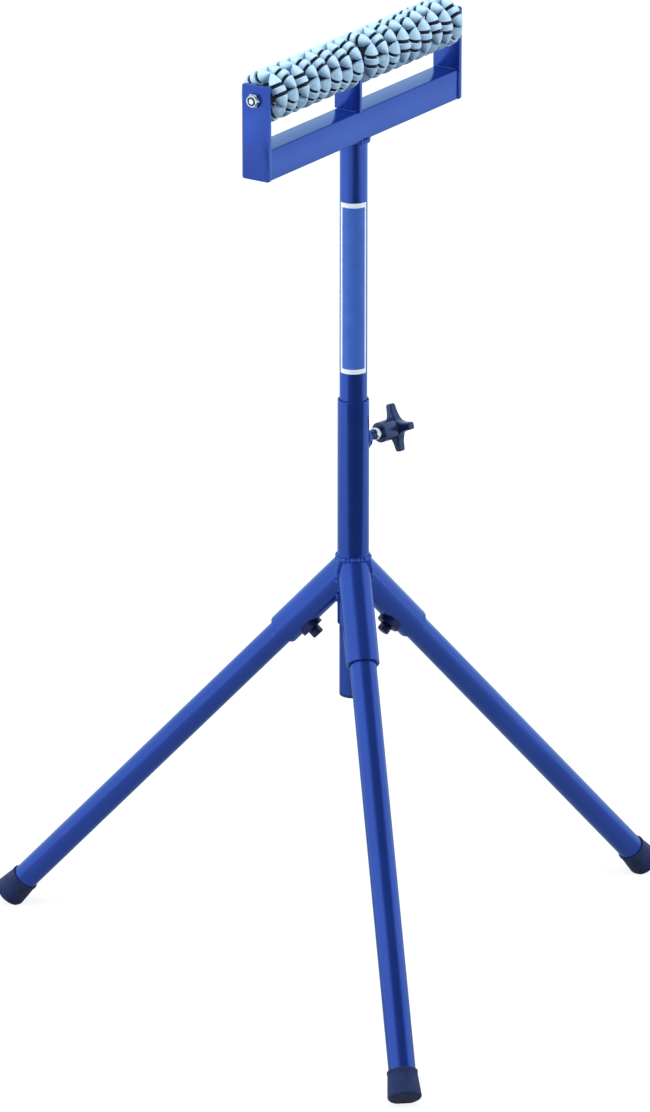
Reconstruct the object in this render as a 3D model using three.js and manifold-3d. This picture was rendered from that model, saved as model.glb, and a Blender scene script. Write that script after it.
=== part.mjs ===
// Tripod roller stand: three bolted legs, a clamped telescopic mast and a head
// that carries a row of omni wheels on one axle between welded plates.
// Millimetres, +Z up. The origin is on the floor under the mast, X runs along the axle.
import * as THREE from 'three';
import { mergeVertices } from 'three/addons/utils/BufferGeometryUtils.js';
import Module from 'manifold-3d';

// Tripod
const legLean = THREE.MathUtils.degToRad(42.7);
const firstLegTurn = THREE.MathUtils.degToRad(-19);
const legCount = 3;
const legReach = 572;
const legInset = 46;
const legDiameter = 27;
const legWall = 1.5;
const legClearance = 0.5;
const socketWall = 2.5;
const socketReach = 112;

// Rubber feet
const footLength = 29;
const footBase = 4;
const footTopWall = 1.6;
const footFlare = 1.6;
const footRound = 3;
const footFlatDepth = 1.6;

// Leg clamp bolts
const legBoltReach = 86;
const legBoltDiameter = 8;
const legBoltHeadWidth = 11;
const legBoltHeadHeight = 8;
const legPadDiameter = 24;
const legPadHeight = 3.5;

// Mast, sleeve and label
const mastDiameter = 28;
const mastWall = 1.5;
const mastRise = 272;
const mastDrop = 142;
const plugFlange = 2.5;
const plugDepth = 12;
const sleeveWall = 1.2;
const sleeveAboveHub = 174;
const sleeveBelowHub = 64;
const mastWeldHeight = 4;
const mastWeldWidth = 3.5;
const labelThickness = 0.25;
const labelGap = 0.2;
const labelLength = 178;
const labelAboveSleeve = 30;
const labelWrap = THREE.MathUtils.degToRad(120);
const labelTurn = THREE.MathUtils.degToRad(-146.5);

// Mast clamp
const clampTurn = THREE.MathUtils.degToRad(-11.5);
const clampAboveHub = 129;
const clampBossDiameter = 22;
const clampBossHeight = 1.5;
const studDiameter = 10;
const studShown = 18.5;
const studInKnob = 14;
const knobSpan = 50;
const knobArmCount = 4;
const knobArmWidth = 9;
const knobArmThickness = 12;
const knobHubDiameter = 22;
const knobHubTaper = 1;
const knobHubLength = 18;
const knobEdgeRound = 1.5;
const knobRestTurn = THREE.MathUtils.degToRad(-11.5);

// Omni wheels
const leftWheelCount = 8;
const rightWheelCount = 9;
const wheelRadius = 26.5;
const wheelHubLength = 18.6;
const wheelHubDiameter = 18;
const wheelArmCount = 4;
const wheelArmWidth = 9;
const barrelRadius = 7.7;
const barrelTipRadius = 0.8;
const barrelShoulderShare = 0.6;
const barrelGroove = 2;
const bandThickness = 6;
const pinRadius = 2.6;
// Where each free wheel came to rest, in degrees up from level on the label side.
const wheelRestDegrees = [28, 63, 28, 66, 53, 67, 54, 64, 90, 52, 72, 5, 84, 6, 19, 6, 41];

// Head
const axleDiameter = 8;
const axleShown = 0.4;
const axleNutWidth = 13;
const axleNutHeight = 7;
const nutChamfer = 0.8;
const plateThickness = 4.5;
const plateWidth = 30;
const plateCorner = 2.5;
const beamWidth = 28;
const beamHeight = 31;
const beamWall = 2;
const beamCorner = 1.5;
const beamInsideCorner = 0.75;
const rollerAboveBeam = 24;
const rollerAbovePlates = 12;

// Clearances
const seam = 0.3;
const runningGap = 0.35;
const wheelGap = 0.6;
const wheelSideGap = 1.5;

// Facets
const tubeSides = 16;
const smallSides = 10;
const barrelSides = 6;
const hexagonSides = 6;
const cornerSteps = 3;

// The corner radius of a faceted round whose flats still clear the given radius.
function outside(radius, sides) {
  return radius / Math.cos(Math.PI / sides);
}

// Derived sizes
const mastRadius = mastDiameter / 2;
const sleeveInner = mastRadius + labelGap + labelThickness + runningGap;
const sleeveOuter = sleeveInner + sleeveWall;
const legRadius = legDiameter / 2;
const socketInner = outside(legRadius + legClearance, tubeSides);
const socketOuter = socketInner + socketWall;
const legBoltHole = outside(legBoltDiameter / 2 + seam, smallSides);
const footInner = legRadius + seam;
const footTop = footInner + footTopWall;
const footEnd = footTop + footFlare;
const hubHeight = (legReach - footRound) * Math.cos(legLean)
  + (footEnd - footRound) * Math.sin(legLean) + footRound - footFlatDepth;
const sleeveTop = hubHeight + sleeveAboveHub;
const sleeveBottom = hubHeight - sleeveBelowHub;
const mastBottom = hubHeight - mastDrop;
const beamBottom = sleeveTop + mastRise;
const beamTop = beamBottom + beamHeight;
const axleHeight = beamTop + rollerAboveBeam + wheelRadius;
const plateTop = axleHeight + wheelRadius - rollerAbovePlates;
const clampHeight = hubHeight + clampAboveHub;
const wheelPitch = wheelHubLength + wheelGap;
const axleHole = outside(axleDiameter / 2 + seam, smallSides);
const leftBay = leftWheelCount * wheelPitch + 2 * wheelSideGap;
const rightBay = rightWheelCount * wheelPitch + 2 * wheelSideGap;
const headInside = leftBay + plateThickness + rightBay;
const leftPlateX = -headInside / 2 - plateThickness / 2;
const rightPlateX = -leftPlateX;
const centrePlateX = -headInside / 2 + leftBay + plateThickness / 2;

// Materials
const blackSteel = { color: 0x14182a, roughness: 0.45, metalness: 0.6 };
const bluePaint = { color: 0x2a45a5, roughness: 0.32, metalness: 0.1 };
const blackPlastic = { color: 0x17181a, roughness: 0.55, metalness: 0 };
const darkRubber = { color: 0x1c1c1f, roughness: 0.8, metalness: 0 };
const zincSteel = { color: 0xb9bec4, roughness: 0.35, metalness: 1 };
const wheelPlastic = { color: 0x9cc4dc, roughness: 0.6, metalness: 0 };
const labelFilm = { color: 0x2b48b8, roughness: 0.4, metalness: 0 };

const wasm = await Module();
wasm.setup();

// Turns a closed three.js geometry into a solid for joining and cutting.
function solid(geometry) {
  const bare = geometry.index ? geometry.toNonIndexed() : geometry.clone();
  bare.deleteAttribute('normal');
  bare.deleteAttribute('uv');
  const merged = mergeVertices(bare, 1e-4);
  return new wasm.Manifold(new wasm.Mesh({
    numProp: 3,
    vertProperties: new Float32Array(merged.attributes.position.array),
    triVerts: new Uint32Array(merged.index.array),
  }));
}

function geometryOf(body) {
  const mesh = body.getMesh();
  const geometry = new THREE.BufferGeometry();
  geometry.setAttribute('position', new THREE.BufferAttribute(mesh.vertProperties, 3));
  geometry.setIndex(new THREE.BufferAttribute(mesh.triVerts, 1));
  return geometry;
}

function addPiece(group, name, geometry, look) {
  const piece = new THREE.Mesh(geometry, new THREE.MeshStandardMaterial(look));
  piece.name = name;
  group.add(piece);
  return piece;
}

// A turned piece: the profile lists radius and height pairs, revolved about local Z.
function turned(profile, sides) {
  const points = profile.map(([radius, height]) => new THREE.Vector2(radius, height));
  return new THREE.LatheGeometry(points, sides).rotateX(Math.PI / 2);
}

function ring(inner, outer, bottom, top, sides) {
  return turned([[inner, bottom], [outer, bottom], [outer, top], [inner, top], [inner, bottom]], sides);
}

function rod(radius, bottom, top, sides) {
  return turned([[0, bottom], [radius, bottom], [radius, top], [0, top]], sides);
}

// A hexagon bar along local Z with its upper corners chamfered.
function hexagon(width, bottom, top) {
  const corner = width / Math.sqrt(3);
  const bar = solid(rod(corner, bottom, top, hexagonSides));
  const crown = turned([
    [0, bottom - seam],
    [corner + seam, bottom - seam],
    [corner + seam, top - nutChamfer],
    [width / 2 - seam, top],
    [0, top],
  ], 2 * hexagonSides);
  return bar.intersect(solid(crown));
}

// A rectangle with rounded corners, centred on x and standing on y = 0.
function roundedRectangle(width, height, corner) {
  const half = width / 2;
  const outline = new THREE.Shape();
  outline.moveTo(-half + corner, 0);
  outline.lineTo(half - corner, 0);
  outline.absarc(half - corner, corner, corner, -Math.PI / 2, 0, false);
  outline.lineTo(half, height - corner);
  outline.absarc(half - corner, height - corner, corner, 0, Math.PI / 2, false);
  outline.lineTo(-half + corner, height);
  outline.absarc(-half + corner, height - corner, corner, Math.PI / 2, Math.PI, false);
  outline.lineTo(-half, corner);
  outline.absarc(-half + corner, corner, corner, Math.PI, Math.PI * 1.5, false);
  return outline;
}

// Extrudes an outline drawn across Y and up Z along the X axis.
function alongX(outline, start, length) {
  const geometry = new THREE.ExtrudeGeometry(outline, {
    depth: length,
    bevelEnabled: false,
    curveSegments: cornerSteps,
  });
  const across = new THREE.Vector3(0, 1, 0);
  const up = new THREE.Vector3(0, 0, 1);
  const along = new THREE.Vector3(1, 0, 0);
  geometry.applyMatrix4(new THREE.Matrix4().makeBasis(across, up, along));
  return geometry.translate(start, 0, 0);
}

// Leg frame: local Z runs down the leg from the hub point, local X looks at its underside.
const alongLeg = new THREE.Matrix4()
  .makeTranslation(0, 0, hubHeight)
  .multiply(new THREE.Matrix4().makeRotationY(Math.PI - legLean));
const underLeg = new THREE.Matrix4()
  .makeTranslation(0, 0, legBoltReach)
  .multiply(new THREE.Matrix4().makeRotationY(Math.PI / 2));

// The socket tube is coped to the sleeve and meets its neighbours on vertical planes.
function socketGeometry() {
  const tube = ring(socketInner, socketOuter, -socketOuter, socketReach, tubeSides);
  const boltHole = rod(legBoltHole, 0, socketOuter + seam, smallSides).applyMatrix4(underLeg);
  const drilled = solid(tube).subtract(solid(boltHole));
  const placed = solid(geometryOf(drilled).applyMatrix4(alongLeg));
  const sleeveRoom = outside(sleeveOuter + seam, tubeSides);
  const post = rod(sleeveRoom, hubHeight - socketReach, hubHeight + socketReach, tubeSides);
  const share = Math.PI / legCount;
  const sector = new THREE.Shape();
  sector.moveTo(seam, 0);
  sector.lineTo(seam + 2 * socketReach * Math.cos(share), -2 * socketReach * Math.sin(share));
  sector.lineTo(seam + 2 * socketReach * Math.cos(share), 2 * socketReach * Math.sin(share));
  const wedge = new THREE.ExtrudeGeometry(sector, { depth: 2 * socketReach, bevelEnabled: false });
  wedge.translate(0, 0, hubHeight - socketReach - socketOuter);
  return geometryOf(placed.subtract(solid(post)).intersect(solid(wedge)));
}

// The rubber foot flares towards a rounded end and is worn flat where it meets the floor.
function footGeometry() {
  const top = legReach - footLength;
  const slant = footRound * Math.SQRT1_2;
  const cap = turned([
    [0, legReach - footBase],
    [footInner, legReach - footBase],
    [footInner, top],
    [footTop, top],
    [footEnd, legReach - footRound],
    [footEnd - footRound + slant, legReach - footRound + slant],
    [footEnd - footRound, legReach],
    [0, legReach],
  ], tubeSides);
  const placed = solid(cap.applyMatrix4(alongLeg));
  const floor = new THREE.BoxGeometry(4 * legReach, 4 * legReach, footLength);
  floor.translate(0, 0, -footLength / 2);
  return geometryOf(placed.subtract(solid(floor)));
}

function legGeometry() {
  const end = legReach - footBase - seam;
  return ring(legRadius - legWall, legRadius, legInset, end, tubeSides).applyMatrix4(alongLeg);
}

// The pad under the socket is shaped to the tube and carries the clamp bolt.
function legPadGeometry() {
  const pad = ring(legBoltHole, legPadDiameter / 2, 0, socketOuter + legPadHeight, tubeSides);
  const tube = rod(socketOuter + seam, legBoltReach - socketReach, legBoltReach + socketReach, tubeSides);
  return geometryOf(solid(pad.applyMatrix4(underLeg)).subtract(solid(tube))).applyMatrix4(alongLeg);
}

function legBoltGeometry() {
  const headBottom = socketOuter + legPadHeight + seam;
  const shank = rod(legBoltDiameter / 2, legRadius + seam, headBottom + seam, smallSides);
  const head = hexagon(legBoltHeadWidth, headBottom, headBottom + legBoltHeadHeight);
  const bolt = geometryOf(head.add(solid(shank)));
  return bolt.applyMatrix4(underLeg).applyMatrix4(alongLeg);
}

const stand = new THREE.Group();

for (let leg = 0; leg < legCount; leg += 1) {
  const side = new THREE.Group();
  side.rotation.z = firstLegTurn + (leg * 2 * Math.PI) / legCount;
  stand.add(side);
  const number = leg + 1;
  addPiece(side, `leg_socket_${number}`, socketGeometry(), bluePaint);
  addPiece(side, `leg_${number}`, legGeometry(), bluePaint);
  addPiece(side, `foot_${number}`, footGeometry(), darkRubber);
  addPiece(side, `leg_pad_${number}`, legPadGeometry(), blackSteel);
  addPiece(side, `leg_bolt_${number}`, legBoltGeometry(), blackSteel);
}

// Clamp frame: local Z points out of the sleeve, level, at the clamp's own turn.
const clamp = new THREE.Group();
clamp.position.z = clampHeight;
clamp.rotation.set(0, Math.PI / 2, clampTurn, 'ZYX');
clamp.updateMatrix();
stand.add(clamp);

const bossTop = sleeveOuter + clampBossHeight;
const knobFace = bossTop + studShown;
const studHole = outside(studDiameter / 2 + seam, smallSides);

const sleeveDrill = rod(studHole, 0, bossTop, smallSides).applyMatrix4(clamp.matrix);
const sleeveTube = ring(sleeveInner, sleeveOuter, sleeveBottom, sleeveTop, tubeSides);
addPiece(stand, 'sleeve', geometryOf(solid(sleeveTube).subtract(solid(sleeveDrill))), bluePaint);

// The boss is coped to the sleeve and threaded for the stud.
const bossRing = ring(studHole, clampBossDiameter / 2, 0, bossTop, tubeSides).applyMatrix4(clamp.matrix);
const sleeveSpace = rod(sleeveOuter + seam, sleeveBottom, sleeveTop, tubeSides);
addPiece(stand, 'clamp_boss', geometryOf(solid(bossRing).subtract(solid(sleeveSpace))), bluePaint);

const studStart = mastRadius + seam;
const studEnd = knobFace + studInKnob;
addPiece(clamp, 'clamp_stud', rod(studDiameter / 2, studStart, studEnd, smallSides), zincSteel);

// The cross knob: four tapered arms with hollow flanks between them, on a long tapered hub.
function knobGeometry() {
  const tipRadius = knobArmWidth / 2;
  const tipCentre = knobSpan / 2 - tipRadius;
  const quarter = Math.PI / 2;
  const share = (2 * Math.PI) / knobArmCount;
  const outline = new THREE.Shape();
  for (let arm = 0; arm < knobArmCount; arm += 1) {
    const turn = arm * share;
    const centre = new THREE.Vector2(tipCentre * Math.cos(turn), tipCentre * Math.sin(turn));
    outline.absarc(centre.x, centre.y, tipRadius - knobEdgeRound, turn - quarter, turn + quarter, false);
    const next = turn + share;
    const hollow = knobHubDiameter / 2 - knobEdgeRound;
    const middle = turn + share / 2;
    const hollowPoint = new THREE.Vector2(hollow * Math.cos(middle), hollow * Math.sin(middle));
    const nextStart = new THREE.Vector2(
      tipCentre * Math.cos(next) + (tipRadius - knobEdgeRound) * Math.cos(next - quarter),
      tipCentre * Math.sin(next) + (tipRadius - knobEdgeRound) * Math.sin(next - quarter),
    );
    outline.quadraticCurveTo(hollowPoint.x, hollowPoint.y, nextStart.x, nextStart.y);
  }
  const arms = new THREE.ExtrudeGeometry(outline, {
    depth: knobArmThickness - 2 * knobEdgeRound,
    bevelThickness: knobEdgeRound,
    bevelSize: knobEdgeRound,
    bevelSegments: 1,
    curveSegments: cornerSteps,
  });
  arms.translate(0, 0, knobFace + knobHubLength + knobEdgeRound);
  const hubEnd = knobFace + knobHubLength + knobArmThickness / 2;
  const hub = turned([
    [0, knobFace],
    [knobHubDiameter / 2 - knobHubTaper, knobFace],
    [knobHubDiameter / 2, hubEnd],
    [0, hubEnd],
  ], tubeSides);
  const bore = rod(studHole, knobFace - seam, studEnd + seam, smallSides);
  return geometryOf(solid(arms).add(solid(hub)).subtract(solid(bore)));
}

const knob = addPiece(clamp, 'cross_knob', knobGeometry(), blackPlastic);
knob.rotation.z = knobRestTurn;

const mastEnd = mastBottom + plugFlange + seam;
const mastTube = ring(mastRadius - mastWall, mastRadius, mastEnd, beamBottom - seam, tubeSides);
addPiece(stand, 'mast', mastTube, bluePaint);

const plugRadius = mastRadius - mastWall - seam;
const plugProfile = [
  [0, mastBottom],
  [mastRadius, mastBottom],
  [mastRadius, mastBottom + plugFlange],
  [plugRadius, mastBottom + plugFlange],
  [plugRadius, mastBottom + plugFlange + plugDepth],
  [0, mastBottom + plugFlange + plugDepth],
];
addPiece(stand, 'mast_plug', turned(plugProfile, tubeSides), blackPlastic);

const weldTop = beamBottom - seam;
const weldProfile = [
  [mastRadius + seam, weldTop - mastWeldHeight],
  [mastRadius + mastWeldWidth, weldTop],
  [mastRadius + seam, weldTop],
  [mastRadius + seam, weldTop - mastWeldHeight],
];
addPiece(stand, 'mast_weld', turned(weldProfile, tubeSides), bluePaint);

// The label is a thin film wrapped part of the way round the mast.
const labelInner = mastRadius + labelGap;
const labelOuter = labelInner + labelThickness;
const labelOutline = new THREE.Shape();
labelOutline.absarc(0, 0, labelOuter, -labelWrap / 2, labelWrap / 2, false);
labelOutline.absarc(0, 0, labelInner, labelWrap / 2, -labelWrap / 2, true);
const labelFilmShape = new THREE.ExtrudeGeometry(labelOutline, {
  depth: labelLength,
  bevelEnabled: false,
  curveSegments: smallSides,
});
const label = addPiece(stand, 'mast_label', labelFilmShape, labelFilm);
label.position.z = sleeveTop + labelAboveSleeve;
label.rotation.z = labelTurn;

// The beam is a box tube; the plates are welded to its ends and across its middle.
const beamOutline = roundedRectangle(beamWidth, beamHeight, beamCorner);
const beamBore = solid(alongX(
  roundedRectangle(beamWidth - 2 * beamWall, beamHeight - 2 * beamWall, beamInsideCorner),
  -headInside,
  2 * headInside,
).translate(0, 0, beamWall));
const beamBar = solid(alongX(beamOutline, -headInside / 2 + seam, headInside - 2 * seam));
const beam = addPiece(stand, 'beam', geometryOf(beamBar.subtract(beamBore)), bluePaint);
beam.position.z = beamBottom;

function plateGeometry(bottom) {
  const outline = roundedRectangle(plateWidth, plateTop - bottom, plateCorner);
  const plate = alongX(outline, -plateThickness / 2, plateThickness).translate(0, 0, bottom);
  const hole = rod(axleHole, -plateThickness, plateThickness, smallSides);
  hole.rotateY(Math.PI / 2).translate(0, 0, axleHeight);
  return geometryOf(solid(plate).subtract(solid(hole)));
}

addPiece(stand, 'left_plate', plateGeometry(beamBottom), bluePaint).position.x = leftPlateX;
addPiece(stand, 'right_plate', plateGeometry(beamBottom), bluePaint).position.x = rightPlateX;
addPiece(stand, 'centre_plate', plateGeometry(beamTop + seam), bluePaint).position.x = centrePlateX;

// Axle frame: local Z runs along the axle.
const axleLine = new THREE.Group();
axleLine.position.z = axleHeight;
axleLine.rotation.y = Math.PI / 2;
stand.add(axleLine);

const nutStart = rightPlateX + plateThickness / 2 + seam;
const axleEnd = nutStart + axleNutHeight + axleShown;
addPiece(axleLine, 'axle', rod(axleDiameter / 2, -axleEnd, axleEnd, smallSides), zincSteel);

function axleNutGeometry() {
  const bore = rod(axleHole, nutStart - seam, axleEnd, smallSides);
  return geometryOf(hexagon(axleNutWidth, nutStart, nutStart + axleNutHeight).subtract(solid(bore)));
}

addPiece(axleLine, 'right_axle_nut', axleNutGeometry(), zincSteel);
addPiece(axleLine, 'left_axle_nut', axleNutGeometry(), zincSteel).rotation.y = Math.PI;

// One omni wheel about local Z: each arm ends in a band with a half barrel on either side,
// parted by a groove down to the pin. A barrel follows the wheel's circle, turned about its pin.
function wheelSolid() {
  const pinDistance = wheelRadius - barrelRadius;
  const barrelAt = (along) => Math.sqrt(wheelRadius ** 2 - along ** 2) - pinDistance;
  const bandEnd = bandThickness / 2;
  const barrelStart = bandEnd + barrelGroove;
  const barrelTip = Math.sqrt(wheelRadius ** 2 - (pinDistance + barrelTipRadius) ** 2);
  const barrelMiddle = barrelStart + (barrelTip - barrelStart) * barrelShoulderShare;
  const half = [
    [barrelAt(bandEnd), bandEnd],
    [pinRadius, bandEnd + barrelGroove / 2],
    [barrelAt(barrelStart), barrelStart],
    [barrelAt(barrelMiddle), barrelMiddle],
    [0, barrelTip + barrelTipRadius],
  ];
  const otherHalf = half.map(([radius, along]) => [radius, -along]).reverse();
  const points = [...otherHalf, ...half].map(([radius, along]) => new THREE.Vector2(radius, along));
  const rollers = new THREE.LatheGeometry(points, barrelSides, Math.PI / 2).translate(pinDistance, 0, 0);
  const reach = pinDistance - pinRadius;
  const spoke = new THREE.BoxGeometry(reach, bandThickness, wheelArmWidth).translate(reach / 2, 0, 0);
  let wheel = solid(rod(wheelHubDiameter / 2, -wheelHubLength / 2, wheelHubLength / 2, smallSides));
  for (let arm = 0; arm < wheelArmCount; arm += 1) {
    const turn = (arm * 2 * Math.PI) / wheelArmCount;
    wheel = wheel.add(solid(spoke.clone().rotateZ(turn)));
    wheel = wheel.add(solid(rollers.clone().rotateZ(turn)));
  }
  return wheel.subtract(solid(rod(axleHole, -wheelHubLength, wheelHubLength, smallSides)));
}

// Local X of the wheel turns to face the label side of the stand at a rest turn of zero.
const wheelShape = geometryOf(wheelSolid());
const wheelCount = leftWheelCount + rightWheelCount;
const leftStart = -headInside / 2 + wheelSideGap + wheelPitch / 2;
const rightStart = centrePlateX + plateThickness / 2 + wheelSideGap + wheelPitch / 2;
for (let index = 0; index < wheelCount; index += 1) {
  const onLeft = index < leftWheelCount;
  const start = onLeft ? leftStart : rightStart;
  const place = onLeft ? index : index - leftWheelCount;
  const name = `wheel_${String(index + 1).padStart(2, '0')}`;
  const wheel = addPiece(axleLine, name, wheelShape, wheelPlastic);
  const rest = wheelRestDegrees[index % wheelRestDegrees.length];
  wheel.position.z = start + place * wheelPitch;
  wheel.rotation.z = -Math.PI / 2 - THREE.MathUtils.degToRad(rest);
}

export default stand;
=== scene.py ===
import math

import bpy
from mathutils import Matrix, Vector


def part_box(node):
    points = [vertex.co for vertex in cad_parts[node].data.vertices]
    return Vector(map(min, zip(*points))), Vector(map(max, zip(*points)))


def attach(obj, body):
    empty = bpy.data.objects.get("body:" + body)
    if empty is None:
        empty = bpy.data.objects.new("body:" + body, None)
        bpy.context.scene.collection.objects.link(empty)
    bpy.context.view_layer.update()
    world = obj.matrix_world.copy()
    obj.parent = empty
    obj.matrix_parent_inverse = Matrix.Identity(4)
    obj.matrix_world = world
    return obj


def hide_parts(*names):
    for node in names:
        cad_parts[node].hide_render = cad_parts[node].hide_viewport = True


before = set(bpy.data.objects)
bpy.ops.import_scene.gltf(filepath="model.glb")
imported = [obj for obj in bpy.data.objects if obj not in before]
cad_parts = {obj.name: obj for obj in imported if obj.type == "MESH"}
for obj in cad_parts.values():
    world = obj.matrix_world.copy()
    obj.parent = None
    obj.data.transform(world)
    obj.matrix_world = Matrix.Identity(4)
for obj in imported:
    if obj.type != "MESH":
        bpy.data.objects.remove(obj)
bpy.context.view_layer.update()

# Camera, light and floor. A long lens a few strides away looks down on the stand past its
# nearer end plate, with a soft light at each side, one above, and a white floor under it.
photo_height = 1112
focal_pixels = 8008
camera_place = Vector((-6.3316, -4.1748, 3.1685))
camera_aim = Vector((-0.0157, 0.0236, 0.4357))
bpy.ops.object.camera_add(location=camera_place)
camera = bpy.context.object
camera.name = "stand_camera"
camera.rotation_euler = (camera_aim - camera_place).to_track_quat("-Z", "Y").to_euler()
camera.data.sensor_width = 36
camera.data.lens = focal_pixels * camera.data.sensor_width / photo_height
camera.data.clip_end = 100
bpy.context.scene.camera = camera
bpy.context.scene.view_settings.view_transform = "Standard"

camera_turn = Matrix.Rotation(math.atan2(camera_place.x, -camera_place.y), 4, "Z")


def add_soft_light(name, offset, width, height, power, aim=Vector((0, 0, 0.6))):
    # The offset is given as seen from the camera: right, away, up.
    place = camera_turn @ Vector(offset)
    bpy.ops.object.light_add(type="AREA", location=place)
    lamp = bpy.context.object
    lamp.name = name
    lamp.rotation_euler = (aim - place).to_track_quat("-Z", "Y").to_euler()
    lamp.data.shape = "RECTANGLE"
    lamp.data.size = width
    lamp.data.size_y = height
    lamp.data.energy = power
    lamp.visible_glossy = False


add_soft_light("left_softbox", (-3.1, -1.3, 1.7), 2.2, 2.2, 115)
add_soft_light("right_softbox", (3.3, -0.8, 1.9), 2.2, 2.2, 110)
add_soft_light("top_softbox", (-0.4, -0.3, 3.4), 2.0, 2.0, 58)


def add_math(tree, operation, first, second):
    # Each value is a number or another node's output.
    node = tree.nodes.new("ShaderNodeMath")
    node.operation = operation
    for socket, value in zip(node.inputs, (first, second)):
        if isinstance(value, (int, float)):
            socket.default_value = value
        else:
            tree.links.new(value, socket)
    return node.outputs[0]


def add_fade(tree, value, start, end, start_level, end_level):
    # Goes from one level to the other as the value goes from start to end.
    fade = tree.nodes.new("ShaderNodeMapRange")
    fade.inputs["From Min"].default_value = start
    fade.inputs["From Max"].default_value = end
    fade.inputs["To Min"].default_value = start_level
    fade.inputs["To Max"].default_value = end_level
    tree.links.new(value, fade.inputs["Value"])
    return fade


world = bpy.data.worlds.new("white_studio")
bpy.context.scene.world = world
world.use_nodes = True
sky = world.node_tree
sky.nodes.clear()
sky_out = sky.nodes.new("ShaderNodeOutputWorld")
room = sky.nodes.new("ShaderNodeBackground")
room.inputs["Color"].default_value = (0.66, 0.82, 1.0, 1)
room.inputs["Strength"].default_value = 0.4
white = sky.nodes.new("ShaderNodeBackground")
white.inputs["Color"].default_value = (1, 1, 1, 1)
rays = sky.nodes.new("ShaderNodeLightPath")
seen = add_math(sky, "MAXIMUM", rays.outputs["Is Camera Ray"], rays.outputs["Is Glossy Ray"])
shown = add_math(sky, "MAXIMUM", seen, rays.outputs["Is Transmission Ray"])
blend_sky = sky.nodes.new("ShaderNodeMixShader")
sky.links.new(shown, blend_sky.inputs["Fac"])
sky.links.new(room.outputs[0], blend_sky.inputs[1])
sky.links.new(white.outputs[0], blend_sky.inputs[2])
sky.links.new(blend_sky.outputs[0], sky_out.inputs["Surface"])

# Glossy pieces see the room fall dark above the camera, as the front leg shows in its middle.
dark_side = camera_turn @ Vector((0.3, -0.55, 0.78)).normalized()
sky_place = sky.nodes.new("ShaderNodeTexCoord")
facing = sky.nodes.new("ShaderNodeVectorMath")
facing.operation = "DOT_PRODUCT"
facing.inputs[1].default_value = dark_side
sky.links.new(sky_place.outputs["Generated"], facing.inputs[0])
fall_off = add_fade(sky, facing.outputs["Value"], 0.6, 0.92, 1.0, 0.05)
fall_off.interpolation_type = "SMOOTHSTEP"
lit_room = add_math(sky, "MAXIMUM", fall_off.outputs["Result"], rays.outputs["Is Camera Ray"])
sky.links.new(lit_room, white.inputs["Strength"])

bpy.ops.object.select_all(action="DESELECT")
bpy.ops.mesh.primitive_plane_add(size=60)
floor = bpy.context.object
floor.name = "studio_floor"
floor_paint = bpy.data.materials.new("white_floor")
floor_paint.use_nodes = True
floor_tree = floor_paint.node_tree
floor_tree.nodes.clear()
floor_out = floor_tree.nodes.new("ShaderNodeOutputMaterial")
matt_sheet = floor_tree.nodes.new("ShaderNodeBsdfDiffuse")
matt_sheet.inputs["Color"].default_value = (0.2, 0.205, 0.21, 1)
glow = floor_tree.nodes.new("ShaderNodeEmission")
glow.inputs["Color"].default_value = (1, 1, 1, 1)
lit_floor = floor_tree.nodes.new("ShaderNodeAddShader")
floor_tree.links.new(matt_sheet.outputs[0], lit_floor.inputs[0])
floor_tree.links.new(glow.outputs[0], lit_floor.inputs[1])
floor_tree.links.new(lit_floor.outputs[0], floor_out.inputs["Surface"])

# The floor brightens to pure white away from the stand. Glossy pieces see it dim near the stand
# and bright further out.
floor_rays = floor_tree.nodes.new("ShaderNodeLightPath")
floor_place = floor_tree.nodes.new("ShaderNodeTexCoord")
floor_reach = floor_tree.nodes.new("ShaderNodeVectorMath")
floor_reach.operation = "LENGTH"
floor_tree.links.new(floor_place.outputs["Object"], floor_reach.inputs[0])
from_middle = floor_reach.outputs["Value"]
seen_level = add_fade(floor_tree, from_middle, 0.5, 1.6, 0.83, 1.0).outputs["Result"]
seen_glow = add_math(floor_tree, "MULTIPLY", floor_rays.outputs["Is Camera Ray"], seen_level)
mirrored = add_math(floor_tree, "MAXIMUM", floor_rays.outputs["Is Glossy Ray"],
                    floor_rays.outputs["Is Transmission Ray"])
mirrored_level = add_fade(floor_tree, from_middle, 0.7, 2.6, 0.24, 0.94).outputs["Result"]
mirrored_glow = add_math(floor_tree, "MULTIPLY", mirrored, mirrored_level)
glow_level = add_math(floor_tree, "MAXIMUM", seen_glow, mirrored_glow)
floor_tree.links.new(glow_level, glow.inputs["Strength"])
floor.data.materials.append(floor_paint)

# A black card lies on the floor before the stand and to the right, narrowing towards the camera,
# where only mirrors show it. The upright tubes mirror it as the dark stripe down their middle.
card_stretch = (2.54, -2.8, 1)
card_shift = (0, -2.2, 0.001)
card_turn = camera_turn @ Matrix.Rotation(math.radians(18), 4, "Z")
bpy.ops.object.select_all(action="DESELECT")
bpy.ops.mesh.primitive_circle_add(vertices=3, radius=1, fill_type="NGON")
card = bpy.context.object
card.name = "black_card"
bpy.ops.object.mode_set(mode="EDIT")
bpy.ops.mesh.select_all(action="SELECT")
bpy.ops.transform.resize(value=card_stretch, center_override=(0, 0, 0))
bpy.ops.transform.translate(value=card_shift)
bpy.ops.object.mode_set(mode="OBJECT")
card.matrix_world = card_turn
bpy.ops.object.transform_apply(location=True, rotation=True, scale=True)
card.visible_camera = False
card.visible_diffuse = False
card.visible_shadow = False
card_paint = bpy.data.materials.new("black_card_paint")
card_paint.use_nodes = True
card_shader = card_paint.node_tree.nodes["Principled BSDF"]
card_shader.inputs["Base Color"].default_value = (0.01, 0.01, 0.012, 1)
card_shader.inputs["Roughness"].default_value = 0.9
card.data.materials.append(card_paint)

# Sleeve. A length of round steel tube, powder coated in metallic blue. It is the upright of the
# base, and the mast slides inside it.


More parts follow.
